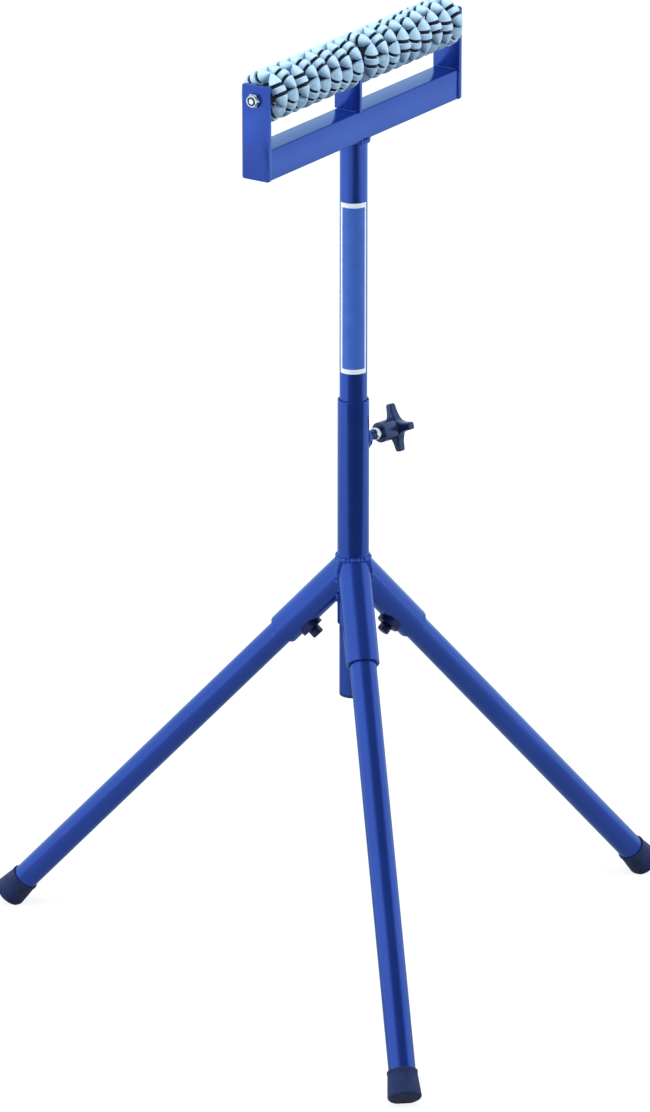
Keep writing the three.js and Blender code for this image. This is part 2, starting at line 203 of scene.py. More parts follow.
def add_piece(add, name, **how):
    bpy.ops.object.select_all(action="DESELECT")
    add(**how)
    piece = bpy.context.object
    piece.name = name
    piece.data.name = name
    return piece


def select_only(piece):
    bpy.ops.object.select_all(action="DESELECT")
    piece.select_set(True)
    bpy.context.view_layer.objects.active = piece


def turn(name, rings, sides=72):
    # A piece from the lathe: each ring is a radius and a height, from one end to the other.
    radius, height = rings[0]
    piece = add_piece(bpy.ops.mesh.primitive_circle_add, name, vertices=sides, radius=radius,
                      location=(0, 0, height), fill_type="NOTHING")
    bpy.ops.object.transform_apply(location=True, rotation=True, scale=True)
    bpy.ops.object.mode_set(mode="EDIT")
    bpy.ops.mesh.select_mode(type="EDGE")
    bpy.ops.mesh.select_all(action="SELECT")
    for next_radius, next_height in rings[1:]:
        rise = (0, 0, next_height - height)
        grow = next_radius / radius
        bpy.ops.mesh.extrude_region_move(TRANSFORM_OT_translate={"value": rise})
        bpy.ops.transform.resize(value=(grow, grow, 1), center_override=(0, 0, next_height))
        radius, height = next_radius, next_height
    if rings[0] != rings[-1]:
        bpy.ops.mesh.edge_face_add()
        bpy.ops.mesh.select_all(action="SELECT")
        bpy.ops.mesh.region_to_loop()
        bpy.ops.mesh.edge_face_add()
    bpy.ops.mesh.select_all(action="SELECT")
    bpy.ops.mesh.remove_doubles(threshold=0.000002)
    bpy.ops.mesh.normals_make_consistent(inside=False)
    bpy.ops.object.mode_set(mode="OBJECT")
    return piece


def tube_rings(outer, wall, start, end, edge=0.0004):
    inner = outer - wall
    return [(inner, start), (outer - edge, start), (outer, start + edge), (outer, end - edge),
            (outer - edge, end), (inner, end), (inner, start)]


def settle(piece, place):
    select_only(piece)
    piece.matrix_world = place
    bpy.ops.object.transform_apply(location=True, rotation=True, scale=True)


def dress(piece, finish, slot, body, *nodes):
    select_only(piece)
    bpy.ops.object.shade_smooth_by_angle(angle=math.radians(38))
    piece.data.materials.clear()
    piece.data.materials.append(finish)
    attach(piece, body)
    if nodes:
        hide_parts(*nodes)


def start_finish(name):
    finish = bpy.data.materials.new(name)
    finish.use_nodes = True
    return finish, finish.node_tree, finish.node_tree.nodes["Principled BSDF"]


def add_speckle(tree, scale, detail=3.0):
    # Object-space noise: the scale is in spots to the metre.
    place = tree.nodes.new("ShaderNodeTexCoord")
    speckle = tree.nodes.new("ShaderNodeTexNoise")
    speckle.inputs["Scale"].default_value = scale
    speckle.inputs["Detail"].default_value = detail
    tree.links.new(place.outputs["Object"], speckle.inputs["Vector"])
    return speckle


speckle_low = 0.3
speckle_high = 0.7


def tint(tree, shader, scale, low, high):
    speckle = add_speckle(tree, scale)
    ramp = tree.nodes.new("ShaderNodeValToRGB")
    ramp.color_ramp.elements[0].position = speckle_low
    ramp.color_ramp.elements[0].color = (*low, 1)
    ramp.color_ramp.elements[1].position = speckle_high
    ramp.color_ramp.elements[1].color = (*high, 1)
    tree.links.new(speckle.outputs["Fac"], ramp.inputs["Fac"])
    tree.links.new(ramp.outputs["Color"], shader.inputs["Base Color"])
    return ramp


def roughen(tree, shader, scale, low, high):
    speckle = add_speckle(tree, scale)
    spread = add_fade(tree, speckle.outputs["Fac"], speckle_low, speckle_high, low, high)
    tree.links.new(spread.outputs["Result"], shader.inputs["Roughness"])


def emboss(tree, shader, scale, strength, depth, detail=2.0):
    speckle = add_speckle(tree, scale, detail)
    bump = tree.nodes.new("ShaderNodeBump")
    bump.inputs["Strength"].default_value = strength
    bump.inputs["Distance"].default_value = depth
    tree.links.new(speckle.outputs["Fac"], bump.inputs["Height"])
    tree.links.new(bump.outputs["Normal"], shader.inputs["Normal"])


# The coat is glossy, with the faint orange peel of a baked film.
blue_paint, paint_tree, paint = start_finish("blue_powder_coat")
tint(paint_tree, paint, 9, (0.0205, 0.063, 0.37), (0.0255, 0.076, 0.43))
roughen(paint_tree, paint, 55, 0.16, 0.23)
emboss(paint_tree, paint, 1500, 0.04, 0.0002)
paint.inputs["Metallic"].default_value = 0.7
paint.inputs["Specular Tint"].default_value = (0.5, 0.86, 1.0, 1)
paint.inputs["Coat Weight"].default_value = 0.28
paint.inputs["Coat Roughness"].default_value = 0.14

sleeve_low, sleeve_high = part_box("sleeve")
sleeve_radius = sleeve_high.x
sleeve_wall = 0.0012
sleeve = turn("sleeve_tube", tube_rings(sleeve_radius, sleeve_wall, sleeve_low.z, sleeve_high.z), 96)
dress(sleeve, blue_paint, "blue_paint", "base", "sleeve")

# Leg sockets. Three short tubes, notched to fit round the sleeve and mitred to each other,
# then welded to it all round and painted with it. The legs push into them.
hub_below_sleeve_top = 0.174
hub = Vector((0, 0, sleeve_high.z - hub_below_sleeve_top))
leg_lean = math.radians(42.7)
leg_turns = [math.radians(-19 + 120 * leg) for leg in range(3)]
leg_radius = 0.0135
socket_radius = 0.01678
socket_wall = 0.0025
socket_start = -0.01
socket_reach = 0.112
socket_edge = 0.0006
half_share = math.radians(60)


def leg_place(turn_angle):
    # Local Z runs down the leg from the hub, local X looks at its underside.
    return (Matrix.Translation(hub) @ Matrix.Rotation(turn_angle, 4, "Z")
            @ Matrix.Rotation(math.pi - leg_lean, 4, "Y"))


def drop(*pieces):
    for piece in pieces:
        bpy.data.objects.remove(piece, do_unlink=True)


def cut_away(piece, cutter, operation="DIFFERENCE"):
    select_only(piece)
    cut = piece.modifiers.new("cut", "BOOLEAN")
    cut.operation = operation
    cut.solver = "EXACT"
    cut.object = cutter
    bpy.ops.object.modifier_apply(modifier=cut.name)
    drop(cutter)


def trim(piece, normal):
    # Cuts the piece on an upright plane through the mast's axis and drops the side ahead.
    select_only(piece)
    bpy.ops.object.mode_set(mode="EDIT")
    bpy.ops.mesh.select_all(action="SELECT")
    bpy.ops.mesh.bisect(plane_co=hub, plane_no=normal, use_fill=True, clear_outer=True)
    bpy.ops.object.mode_set(mode="OBJECT")


def copy_piece(model, name):
    select_only(model)
    bpy.ops.object.duplicate(linked=False)
    copy = bpy.context.object
    copy.name = name
    copy.data.name = name
    return copy


socket_rings = tube_rings(socket_radius, socket_wall, socket_start, socket_reach, socket_edge)
socket_model = turn("leg_socket", socket_rings)
settle(socket_model, leg_place(0))
notch = add_piece(bpy.ops.mesh.primitive_cylinder_add, "notch", vertices=96,
                  radius=sleeve_radius - sleeve_wall / 2, depth=0.3, location=hub)
cut_away(socket_model, notch)
trim(socket_model, (-math.sin(half_share), math.cos(half_share), 0))
trim(socket_model, (-math.sin(half_share), -math.cos(half_share), 0))
for number, leg_turn in enumerate(leg_turns, 1):
    socket = copy_piece(socket_model, f"leg_socket_{number}_tube")
    settle(socket, Matrix.Rotation(leg_turn, 4, "Z"))
    dress(socket, blue_paint, "blue_paint", "base", f"leg_socket_{number}")
drop(socket_model)

# Hub welds. Beads run where each socket meets the sleeve, above and below, and down the
# seams between neighbouring sockets. They are built up ripple by ripple and painted over.
bead_swell = 0.12
bead_rhythm = 2.3
bead_grain = 0.22


def lay_bead(piece_name, runs, width, body):
    # Every run is a list of points. A ball of weld is laid at each step along it, each a little
    # larger or smaller than the last, and the balls are fused and eased into a rippled bead.
    bead = None
    for run in runs:
        for step, (start, end) in enumerate(zip(run, run[1:])):
            swell = width * (1 + bead_swell * math.sin(bead_rhythm * step))
            place = (start + end) / 2
            if bead is None:
                bead = add_piece(bpy.ops.mesh.primitive_ico_sphere_add, piece_name, subdivisions=2,
                                 radius=swell, location=place)
                bpy.ops.object.transform_apply(location=True, rotation=True, scale=True)
                bpy.ops.object.mode_set(mode="EDIT")
            else:
                bpy.ops.mesh.primitive_ico_sphere_add(subdivisions=2, radius=swell, location=place)
    bpy.ops.object.mode_set(mode="OBJECT")
    fuse = bead.modifiers.new("fuse", "REMESH")
    fuse.mode = "VOXEL"
    fuse.voxel_size = width * bead_grain
    bpy.ops.object.modifier_apply(modifier=fuse.name)
    ease = bead.modifiers.new("ease", "SMOOTH")
    ease.iterations = 1
    bpy.ops.object.modifier_apply(modifier=ease.name)
    dress(bead, blue_paint, "blue_paint", body)
    for face in bead.data.polygons:
        face.use_smooth = True
    return bead


def clear_bore(weld, height):
    # Cuts off what would reach through the sleeve's wall to the mast.
    core = add_piece(bpy.ops.mesh.primitive_cylinder_add, "bore_core", vertices=96,
                     radius=sleeve_radius - sleeve_wall / 2, depth=0.16, location=(0, 0, height))
    cut_away(weld, core)


def seam_point(across, sign, turn_angle):
    # Where the socket's outside meets the sleeve, at an angle round from the leg.
    reach = sleeve_radius * math.cos(across) * math.cos(leg_lean)
    half_chord = math.sqrt(socket_radius ** 2 - (sleeve_radius * math.sin(across)) ** 2)
    rise = (sign * half_chord - reach) / math.sin(leg_lean)
    angle = turn_angle + across
    return hub + Vector((sleeve_radius * math.cos(angle), sleeve_radius * math.sin(angle), rise))


def crotch_point(radius, sign, angle):
    # Where two neighbouring sockets meet, on the upright plane between their legs.
    reach = radius * math.cos(half_share) * math.cos(leg_lean)
    half_chord = math.sqrt(max(0, socket_radius ** 2 - (radius * math.sin(half_share)) ** 2))
    rise = (sign * half_chord - reach) / math.sin(leg_lean)
    return hub + Vector((radius * math.cos(angle), radius * math.sin(angle), rise))


hub_bead = 0.0029
seam_bead = 0.0036
ripples = 8
seam_ripples = 6
hub_runs = []
seam_runs = []
crotch_reach = socket_radius / math.sin(half_share)
for leg_turn in leg_turns:
    for sign in (1, -1):
        sweep = [half_share * (2 * step / ripples - 1) for step in range(ripples + 1)]
        hub_runs.append([seam_point(across, sign, leg_turn) for across in sweep])
    angle = leg_turn + half_share
    spread = [math.sin(math.pi / 2 * step / seam_ripples) for step in range(seam_ripples + 1)]
    out = [sleeve_radius + (crotch_reach - sleeve_radius) * share for share in spread]
    seam_runs.append([crotch_point(radius, 1, angle) for radius in out]
                     + [crotch_point(radius, -1, angle) for radius in reversed(out)])
hub_welds = lay_bead("hub_welds", hub_runs, hub_bead, "base")
clear_bore(hub_welds, hub.z)
seam_welds = lay_bead("seam_welds", seam_runs, seam_bead, "base")
clear_bore(seam_welds, hub.z)

# Legs and feet. Each leg is a round steel tube, painted like the base, pushed into its socket.
# A moulded rubber cap with a thin lip, flared and rounded at its end, is pressed on as the foot.
leg_inset = 0.046
leg_reach = 0.572
leg_wall = 0.0015
foot_length = 0.029
foot_base = 0.004

rubber, rubber_tree, rubber_shader = start_finish("foot_rubber")
tint(rubber_tree, rubber_shader, 120, (0.012, 0.022, 0.07), (0.018, 0.031, 0.095))
roughen(rubber_tree, rubber_shader, 200, 0.4, 0.58)
emboss(rubber_tree, rubber_shader, 900, 0.25, 0.0004)
rubber_shader.inputs["Specular IOR Level"].default_value = 0.2

# A turned piece that closes on its axis has a flat spot there, of this radius or half of it.
axis_spot = 0.001
foot_inner = leg_radius + 0.0002
foot_lip = leg_radius + 0.0019
lip_edge = 0.0006
lip_height = 0.0022
neck_radius = foot_lip - 0.0005
neck_height = 0.003
flare_radius = foot_lip + 0.0004
flare_height = 0.012
foot_end = leg_radius + 0.0035
foot_round = 0.003
round_steps = 5
foot_top = leg_reach - foot_length
foot_floor = leg_reach - foot_base
foot_rings = [(axis_spot, foot_floor), (foot_inner, foot_floor), (foot_inner, foot_top),
              (foot_lip - lip_edge, foot_top), (foot_lip, foot_top + lip_edge),
              (foot_lip, foot_top + lip_height), (neck_radius, foot_top + neck_height),
              (flare_radius, foot_top + flare_height), (foot_end, leg_reach - foot_round)]
for step in range(1, round_steps + 1):
    bend = math.radians(90 * step / round_steps)
    foot_rings.append((foot_end - foot_round * (1 - math.cos(bend)),
                       leg_reach - foot_round * (1 - math.sin(bend))))
foot_rings.append((axis_spot, leg_reach))

leg_end = foot_floor - 0.0003
leg_model = turn("leg", tube_rings(leg_radius, leg_wall, leg_inset, leg_end))
foot_model = turn("foot", foot_rings)
settle(foot_model, leg_place(0))
bpy.ops.object.mode_set(mode="EDIT")
bpy.ops.mesh.select_all(action="SELECT")
bpy.ops.mesh.bisect(plane_co=(0, 0, 0), plane_no=(0, 0, -1), use_fill=True, clear_outer=True)
bpy.ops.object.mode_set(mode="OBJECT")
for number, leg_turn in enumerate(leg_turns, 1):
    leg = copy_piece(leg_model, f"leg_{number}_tube")
    settle(leg, leg_place(leg_turn))
    dress(leg, blue_paint, "blue_paint", "base", f"leg_{number}")
    foot = copy_piece(foot_model, f"foot_{number}_cap")
    settle(foot, Matrix.Rotation(leg_turn, 4, "Z"))
    dress(foot, rubber, "foot_rubber", "base", f"foot_{number}")
drop(leg_model, foot_model)

# Leg clamp pads and bolts. A round steel pad, saddled to the socket's underside, takes a hex
# bolt that presses on the leg. Both are black oxide steel, fitted after painting.
bolt_reach = 0.086
pad_radius = 0.012
pad_height = 0.0035
bolt_radius = 0.004
bolt_head_width = 0.011
bolt_head_height = 0.008

black_steel, steel_tree, steel_shader = start_finish("black_oxide_steel")
tint(steel_tree, steel_shader, 260, (0.012, 0.02, 0.085), (0.02, 0.032, 0.13))
roughen(steel_tree, steel_shader, 400, 0.3, 0.5)
emboss(steel_tree, steel_shader, 1500, 0.15, 0.0002)
steel_shader.inputs["Metallic"].default_value = 0.6


def hexagon_bar(name, width, start, end, chamfer):
    # The six corners are turned down at the outer end.
    corner = width / math.sqrt(3)
    bar = add_piece(bpy.ops.mesh.primitive_cylinder_add, name, vertices=6, radius=corner,
                    depth=end - start, location=(0, 0, (start + end) / 2))
    bpy.ops.object.transform_apply(location=True, rotation=True, scale=True)
    crown_foot = start - 0.001
    shoulder = corner * 1.02
    tip = width / 2 * 0.94
    crown = turn("crown", [(axis_spot / 2, crown_foot), (corner * 1.1, crown_foot),
                           (shoulder, end - chamfer), (tip, end), (axis_spot / 2, end)], 60)
    cut_away(bar, crown, "INTERSECT")
    return bar


def soften(piece, width, segments=2):
    select_only(piece)
    round_off = piece.modifiers.new("round_off", "BEVEL")
    round_off.width = width
    round_off.segments = segments
    round_off.limit_method = "ANGLE"
    round_off.angle_limit = math.radians(30)
    bpy.ops.object.modifier_apply(modifier=round_off.name)


def join_to(piece, *others):
    select_only(piece)
    for other in others:
        other.select_set(True)
    bpy.ops.object.join()


under_leg = Matrix.Translation((0, 0, bolt_reach)) @ Matrix.Rotation(math.pi / 2, 4, "Y")
pad_top = socket_radius + pad_height
pad_hole = bolt_radius + 0.0003
pad_start = 0.004
pad_edge = 0.0007
pad_rings = [(pad_hole, pad_start), (pad_radius, pad_start), (pad_radius, pad_top - pad_edge),
             (pad_radius - pad_edge, pad_top), (pad_hole, pad_top), (pad_hole, pad_start)]
pad_model = turn("leg_pad", pad_rings)
settle(pad_model, under_leg)
saddle = add_piece(bpy.ops.mesh.primitive_cylinder_add, "saddle", vertices=72,
                   radius=socket_radius - 0.0003, depth=0.1, location=(0, 0, bolt_reach))
cut_away(pad_model, saddle)

head_start = pad_top + 0.0003
head_end = head_start + bolt_head_height
bolt_chamfer = 0.0009
hexagon_edge = 0.0003
bolt_model = hexagon_bar("leg_bolt", bolt_head_width, head_start, head_end, bolt_chamfer)
soften(bolt_model, hexagon_edge)
shank_tip = leg_radius + 0.0003
shank_end = head_start + 0.0005
shank = turn("shank", [(axis_spot / 2, shank_tip), (bolt_radius, shank_tip),
                       (bolt_radius, shank_end), (axis_spot / 2, shank_end)], 36)
join_to(bolt_model, shank)
settle(bolt_model, under_leg)
for number, leg_turn in enumerate(leg_turns, 1):
    pad = copy_piece(pad_model, f"leg_pad_{number}_saddle")
    settle(pad, leg_place(leg_turn))
    dress(pad, black_steel, "dark_bolts", "base", f"leg_pad_{number}")
    bolt = copy_piece(bolt_model, f"leg_bolt_{number}_hex")
    settle(bolt, leg_place(leg_turn))
    dress(bolt, black_steel, "dark_bolts", "base", f"leg_bolt_{number}")
drop(pad_model, bolt_model)

# Mast clamp. A turned boss is welded to the sleeve and tapped for a zinc plated stud. A black
# moulded cross knob, with a zinc plated bush in its long hub, screws the stud against the mast.
clamp_turn = math.radians(-11.5)
clamp_height = hub.z + 0.129
boss_radius = 0.011
boss_top = sleeve_radius + 0.0015
stud_radius = 0.005
stud_shown = 0.0185
knob_face = boss_top + stud_shown
knob_hub_radius = 0.011
knob_hub_length = 0.018
knob_arm_thickness = 0.012
knob_rest = math.radians(-18)
clamp_place = (Matrix.Translation((0, 0, clamp_height)) @ Matrix.Rotation(clamp_turn, 4, "Z")
               @ Matrix.Rotation(math.pi / 2, 4, "Y"))

boss_hole = stud_radius + 0.0004
boss_start = 0.004
boss_edge = 0.0008
boss = turn("clamp_boss_turned", [(boss_hole, boss_start), (boss_radius, boss_start),
                                  (boss_radius, boss_top - boss_edge), (boss_radius - boss_edge, boss_top),
                                  (boss_hole, boss_top), (boss_hole, boss_start)])
settle(boss, clamp_place)
cope = add_piece(bpy.ops.mesh.primitive_cylinder_add, "cope", vertices=96, radius=sleeve_radius - 0.0004,
                 depth=0.1, location=(0, 0, clamp_height))
cut_away(boss, cope)
dress(boss, blue_paint, "blue_paint", "base", "clamp_boss")

boss_bead = 0.0015
boss_ripples = 30
boss_run = []
for step in range(boss_ripples + 1):
    angle = 2 * math.pi * step / boss_ripples
    side = boss_radius * math.cos(angle)
    lift = boss_radius * math.sin(angle)
    out = math.sqrt(sleeve_radius ** 2 - side ** 2)
    spot = Vector((out, side, lift + clamp_height))
    boss_run.append(Matrix.Rotation(clamp_turn, 4, "Z") @ spot)
boss_weld = lay_bead("boss_weld", [boss_run], boss_bead, "base")
clear_bore(boss_weld, clamp_height)

zinc, zinc_tree, zinc_shader = start_finish("bright_zinc")
tint(zinc_tree, zinc_shader, 300, (0.64, 0.77, 0.86), (0.78, 0.88, 0.94))
roughen(zinc_tree, zinc_shader, 700, 0.14, 0.28)
emboss(zinc_tree, zinc_shader, 2200, 0.1, 0.0001)
zinc_shader.inputs["Metallic"].default_value = 1.0


def thread_rings(radius, start, end, pitch, depth):
    rings = []
    turns = int((end - start) / pitch)
    for count in range(turns):
        rings.append((radius - depth, start + count * pitch))
        rings.append((radius, start + (count + 0.5) * pitch))
    rings.append((radius - depth, end))
    return rings


stud_tip = sleeve_radius - 0.0016
stud_tip_radius = stud_radius - 0.001
stud_end = knob_face + 0.01
stud_pitch = 0.0015
stud_thread_radius = stud_radius - 0.0004
thread_depth = 0.0006
stud_rings = [(axis_spot, stud_tip), (stud_tip_radius, stud_tip)]
stud_rings += thread_rings(stud_thread_radius, sleeve_radius, stud_end, stud_pitch, thread_depth)
stud_rings.append((axis_spot, stud_end))
# Painted shade: the stud's zinc is coloured dark navy for the shadow it sits in between the boss and the
# knob.
shaded_zinc, shaded_zinc_tree, shaded_zinc_shader = start_finish("zinc_thread_painted_shade")
tint(shaded_zinc_tree, shaded_zinc_shader, 300, (0.06, 0.1, 0.22), (0.1, 0.15, 0.3))
roughen(shaded_zinc_tree, shaded_zinc_shader, 600, 0.3, 0.45)
emboss(shaded_zinc_tree, shaded_zinc_shader, 2000, 0.1, 0.0001)
shaded_zinc_shader.inputs["Metallic"].default_value = 0.8

stud = turn("clamp_stud_threaded", stud_rings, 40)
settle(stud, clamp_place)
dress(stud, shaded_zinc, "zinc_steel", "clamp_stud", "clamp_stud")

black_plastic, plastic_tree, plastic_shader = start_finish("black_moulded_plastic")
tint(plastic_tree, plastic_shader, 150, (0.012, 0.024, 0.085), (0.018, 0.034, 0.115))
roughen(plastic_tree, plastic_shader, 240, 0.16, 0.28)
emboss(plastic_tree, plastic_shader, 1400, 0.18, 0.0003)
plastic_shader.inputs["Specular IOR Level"].default_value = 0.6
plastic_shader.inputs["Specular Tint"].default_value = (0.55, 0.8, 1.0, 1)


def pick_faces(piece, wanted):
    bpy.ops.object.mode_set(mode="EDIT")
    bpy.ops.mesh.select_mode(type="FACE")
    bpy.ops.mesh.select_all(action="DESELECT")
    bpy.ops.object.mode_set(mode="OBJECT")
    for face in piece.data.polygons:
        face.select = wanted(face)
    bpy.ops.object.mode_set(mode="EDIT")


arms_middle = knob_face + knob_hub_length + knob_arm_thickness / 2
core_radius = 0.0104
core_thickness = 0.0104
knob = add_piece(bpy.ops.mesh.primitive_cylinder_add, "cross_knob_moulding", vertices=16,
                 radius=core_radius, depth=core_thickness, location=(0, 0, arms_middle))
bpy.ops.object.transform_apply(location=True, rotation=True, scale=True)
arm_facing = 0.75
arm_flatten = 0.6
# Each step of an arm has its length, then the shares of width and height that it keeps.
arm_steps = ((0.0024, 0.76, 0.94), (0.0038, 0.8, 0.9), (0.0046, 0.93, 0.92), (0.0036, 0.92, 0.92))
for arm in range(4):
    arm_turn = arm * math.pi / 2
    outward = Vector((math.cos(arm_turn), math.sin(arm_turn), 0))
    arm_end = Vector((0, 0, arms_middle)) + outward * core_radius
    pick_faces(knob, lambda face: (face.normal.dot(outward) > arm_facing
                                   and face.center.xy.length < core_radius))
    for length, width, height in arm_steps:
        bpy.ops.mesh.extrude_region_move(TRANSFORM_OT_translate={"value": outward * length})
        arm_end += outward * length
        scale = (arm_flatten, width, height) if abs(outward.x) > 0.5 else (width, arm_flatten, height)
        bpy.ops.transform.resize(value=scale, center_override=arm_end)
    bpy.ops.object.mode_set(mode="OBJECT")
knob_edge = 0.0016
soften(knob, knob_edge)
round_form = knob.modifiers.new("round_form", "SUBSURF")
round_form.levels = 2
round_form.render_levels = 2
bpy.ops.object.modifier_apply(modifier=round_form.name)
hub_hole = stud_radius + 0.0018
hole_bottom = knob_face + 0.003
front_radius = knob_hub_radius - 0.0006
front_edge = 0.0008
hub_end = knob_face + knob_hub_length
end_radius = knob_hub_radius - 0.0002
end_edge = 0.001
hub_root = 0.007
knob_hub = turn("knob_hub", [(hub_hole, hole_bottom), (hub_hole, knob_face),
                             (front_radius - front_edge, knob_face), (front_radius, knob_face + front_edge),
                             (end_radius, hub_end - end_edge), (end_radius - end_edge, hub_end + end_edge),
                             (hub_root, arms_middle), (axis_spot, arms_middle)])
join_to(knob, knob_hub)
settle(knob, clamp_place @ Matrix.Rotation(knob_rest, 4, "Z"))
dress(knob, black_plastic, "black_plastic", "cross_knob", "cross_knob")

bush_bore = stud_radius + 0.0002
bush_radius = stud_radius + 0.0014
bush_front = knob_face - 0.0072
bush_edge = 0.0006
mouth_radius = bush_bore + 0.0004
mouth_depth = 0.0003
knob_bush = turn("knob_bush_ring", [(bush_bore, hole_bottom), (bush_bore, bush_front + mouth_depth),
                                    (mouth_radius, bush_front), (bush_radius - bush_edge, bush_front),
                                    (bush_radius, bush_front + bush_edge), (bush_radius, hole_bottom),
                                    (bush_bore, hole_bottom)], 48)
settle(knob_bush, clamp_place)
dress(knob_bush, zinc, "zinc_steel", "cross_knob")

# Mast and label. A smaller round tube slides in the sleeve, closed below by a black plug. A
# printed film with a white border is wrapped part of the way round it.
mast_low, mast_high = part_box("mast")
mast_radius = mast_high.x
mast_wall = 0.0015
mast = turn("mast_tube", tube_rings(mast_radius, mast_wall, mast_low.z, mast_high.z), 96)
dress(mast, blue_paint, "blue_paint", "mast", "mast")

plug_low, plug_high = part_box("mast_plug")
plug_round = 0.0012
plug_neck = mast_radius - mast_wall - 0.0003
plug_shoulder = mast_low.z - 0.0002
# The middle of a rounded edge lies this share of its radius in from the sharp corner.
round_share = 0.3
plug_cut = plug_round * round_share
plug = turn("mast_plug_moulding", [(axis_spot, plug_low.z), (mast_radius - plug_round, plug_low.z),
                                   (mast_radius - plug_cut, plug_low.z + plug_cut),
                                   (mast_radius, plug_low.z + plug_round), (mast_radius, plug_shoulder),
                                   (plug_neck, plug_shoulder), (plug_neck, plug_high.z),
                                   (axis_spot, plug_high.z)])
dress(plug, black_plastic, "black_plastic", "mast", "mast_plug")

label_low, label_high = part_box("mast_label")
label_turn = math.radians(-146.5)
label_half_wrap = math.radians(60)
label_radius = mast_radius + 0.0002
label = add_piece(bpy.ops.mesh.primitive_cylinder_add, "mast_label_film", vertices=144, radius=label_radius,
                  depth=label_high.z - label_low.z, location=(0, 0, (label_low.z + label_high.z) / 2),
                  end_fill_type="NOTHING")
bpy.ops.object.transform_apply(location=True, rotation=True, scale=True)
label_front = Vector((math.cos(label_turn), math.sin(label_turn), 0))
pick_faces(label, lambda face: face.normal.dot(label_front) < math.cos(label_half_wrap))
bpy.ops.mesh.delete(type="FACE")
bpy.ops.object.mode_set(mode="OBJECT")
film = label.modifiers.new("film", "SOLIDIFY")
film.thickness = 0.00022
film.offset = 1
bpy.ops.object.modifier_apply(modifier=film.name)

label_print, label_tree, label_shader = start_finish("bordered_label_film")
label_place = label_tree.nodes.new("ShaderNodeTexCoord")
split = label_tree.nodes.new("ShaderNodeSeparateXYZ")
label_tree.links.new(label_place.outputs["Object"], split.inputs["Vector"])
border_ends = 0.0048
border_sides = math.radians(10)
middle_height = (label_low.z + label_high.z) / 2
half_length = (label_high.z - label_low.z) / 2
from_middle_height = add_math(label_tree, "SUBTRACT", split.outputs["Z"], middle_height)
off_middle = add_math(label_tree, "ABSOLUTE", from_middle_height, 0)
inside_ends = add_math(label_tree, "LESS_THAN", off_middle, half_length - border_ends)
toward_x = add_math(label_tree, "MULTIPLY", split.outputs["X"], math.cos(label_turn))
toward_y = add_math(label_tree, "MULTIPLY", split.outputs["Y"], math.sin(label_turn))
toward_front = add_math(label_tree, "ADD", toward_x, toward_y)
border_line = label_radius * math.cos(label_half_wrap - border_sides)
inside_sides = add_math(label_tree, "GREATER_THAN", toward_front, border_line)
field = add_math(label_tree, "MULTIPLY", inside_ends, inside_sides)
ink = tint(label_tree, label_shader, 60, (0.04, 0.12, 0.46), (0.05, 0.14, 0.52))
label_mix = label_tree.nodes.new("ShaderNodeMix")
label_mix.data_type = "RGBA"
label_mix.inputs["A"].default_value = (0.84, 0.89, 0.94, 1)
label_tree.links.new(field, label_mix.inputs["Factor"])
label_tree.links.new(ink.outputs["Color"], label_mix.inputs["B"])
label_tree.links.new(label_mix.outputs["Result"], label_shader.inputs["Base Color"])
roughen(label_tree, label_shader, 90, 0.3, 0.42)
emboss(label_tree, label_shader, 500, 0.05, 0.0002)
dress(label, label_print, "label_film", "head", "mast_label")

# Head frame. A box tube beam is welded across the mast's top, with a flat bar plate across
# each end and a third one standing on it between the two bays of wheels.
beam_low, beam_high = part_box("beam")
beam_wall = 0.002
beam_round = 0.0016
beam = add_piece(bpy.ops.mesh.primitive_cube_add, "beam_box_tube", size=1,
                 location=(beam_low + beam_high) / 2, scale=beam_high - beam_low)
bpy.ops.object.transform_apply(location=True, rotation=True, scale=True)
pick_faces(beam, lambda face: abs(face.normal.x) > 0.5)
bpy.ops.mesh.delete(type="FACE")


def pick_edges(piece, wanted):
    bpy.ops.object.mode_set(mode="EDIT")
    bpy.ops.mesh.select_mode(type="EDGE")
    bpy.ops.mesh.select_all(action="DESELECT")
    bpy.ops.object.mode_set(mode="OBJECT")
    for edge in piece.data.edges:
        start, end = [piece.data.vertices[index].co for index in edge.vertices]
        edge.select = wanted(start, end)
    bpy.ops.object.mode_set(mode="EDIT")


def runs_along_axle(start, end):
    return abs(start.x - end.x) > 0.001


pick_edges(beam, runs_along_axle)
bpy.ops.mesh.bevel(offset=beam_round, segments=4)
bpy.ops.object.mode_set(mode="OBJECT")
wall = beam.modifiers.new("wall", "SOLIDIFY")
wall.thickness = beam_wall
wall.offset = -1
bpy.ops.object.modifier_apply(modifier=wall.name)
dress(beam, blue_paint, "blue_paint", "head", "beam")

# The end plates are rounded a little at all four corners, the centre plate more, at its top two.
end_corner = 0.0022
end_spread = 1.05
centre_corner = 0.009
plate_edge = 0.0004
for node in ("left_plate", "right_plate", "centre_plate"):
    at_end = node != "centre_plate"
    plate_low, plate_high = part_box(node)
    plate_middle = (plate_low + plate_high) / 2
    plate_size = plate_high - plate_low
    plate_size.y *= end_spread if at_end else 1
    plate = add_piece(bpy.ops.mesh.primitive_cube_add, f"{node}_flat_bar", size=1,
                      location=plate_middle, scale=plate_size)
    bpy.ops.object.transform_apply(location=True, rotation=True, scale=True)
    pick_edges(plate, lambda start, end: (runs_along_axle(start, end)
                                          and (at_end or start.z > plate_middle.z)))
    bpy.ops.mesh.bevel(offset=end_corner if at_end else centre_corner, segments=5)
    bpy.ops.object.mode_set(mode="OBJECT")
    soften(plate, plate_edge)
    dress(plate, blue_paint, "blue_paint", "head", node)

# Head welds. A ring joins the mast to the beam, and fillets run across the beam's top at each
# plate and up the beam's sides at the end plates.


def straight_run(start, end, pitch=0.0026):
    count = max(2, round((end - start).length / pitch))
    return [start.lerp(end, step / count) for step in range(count + 1)]


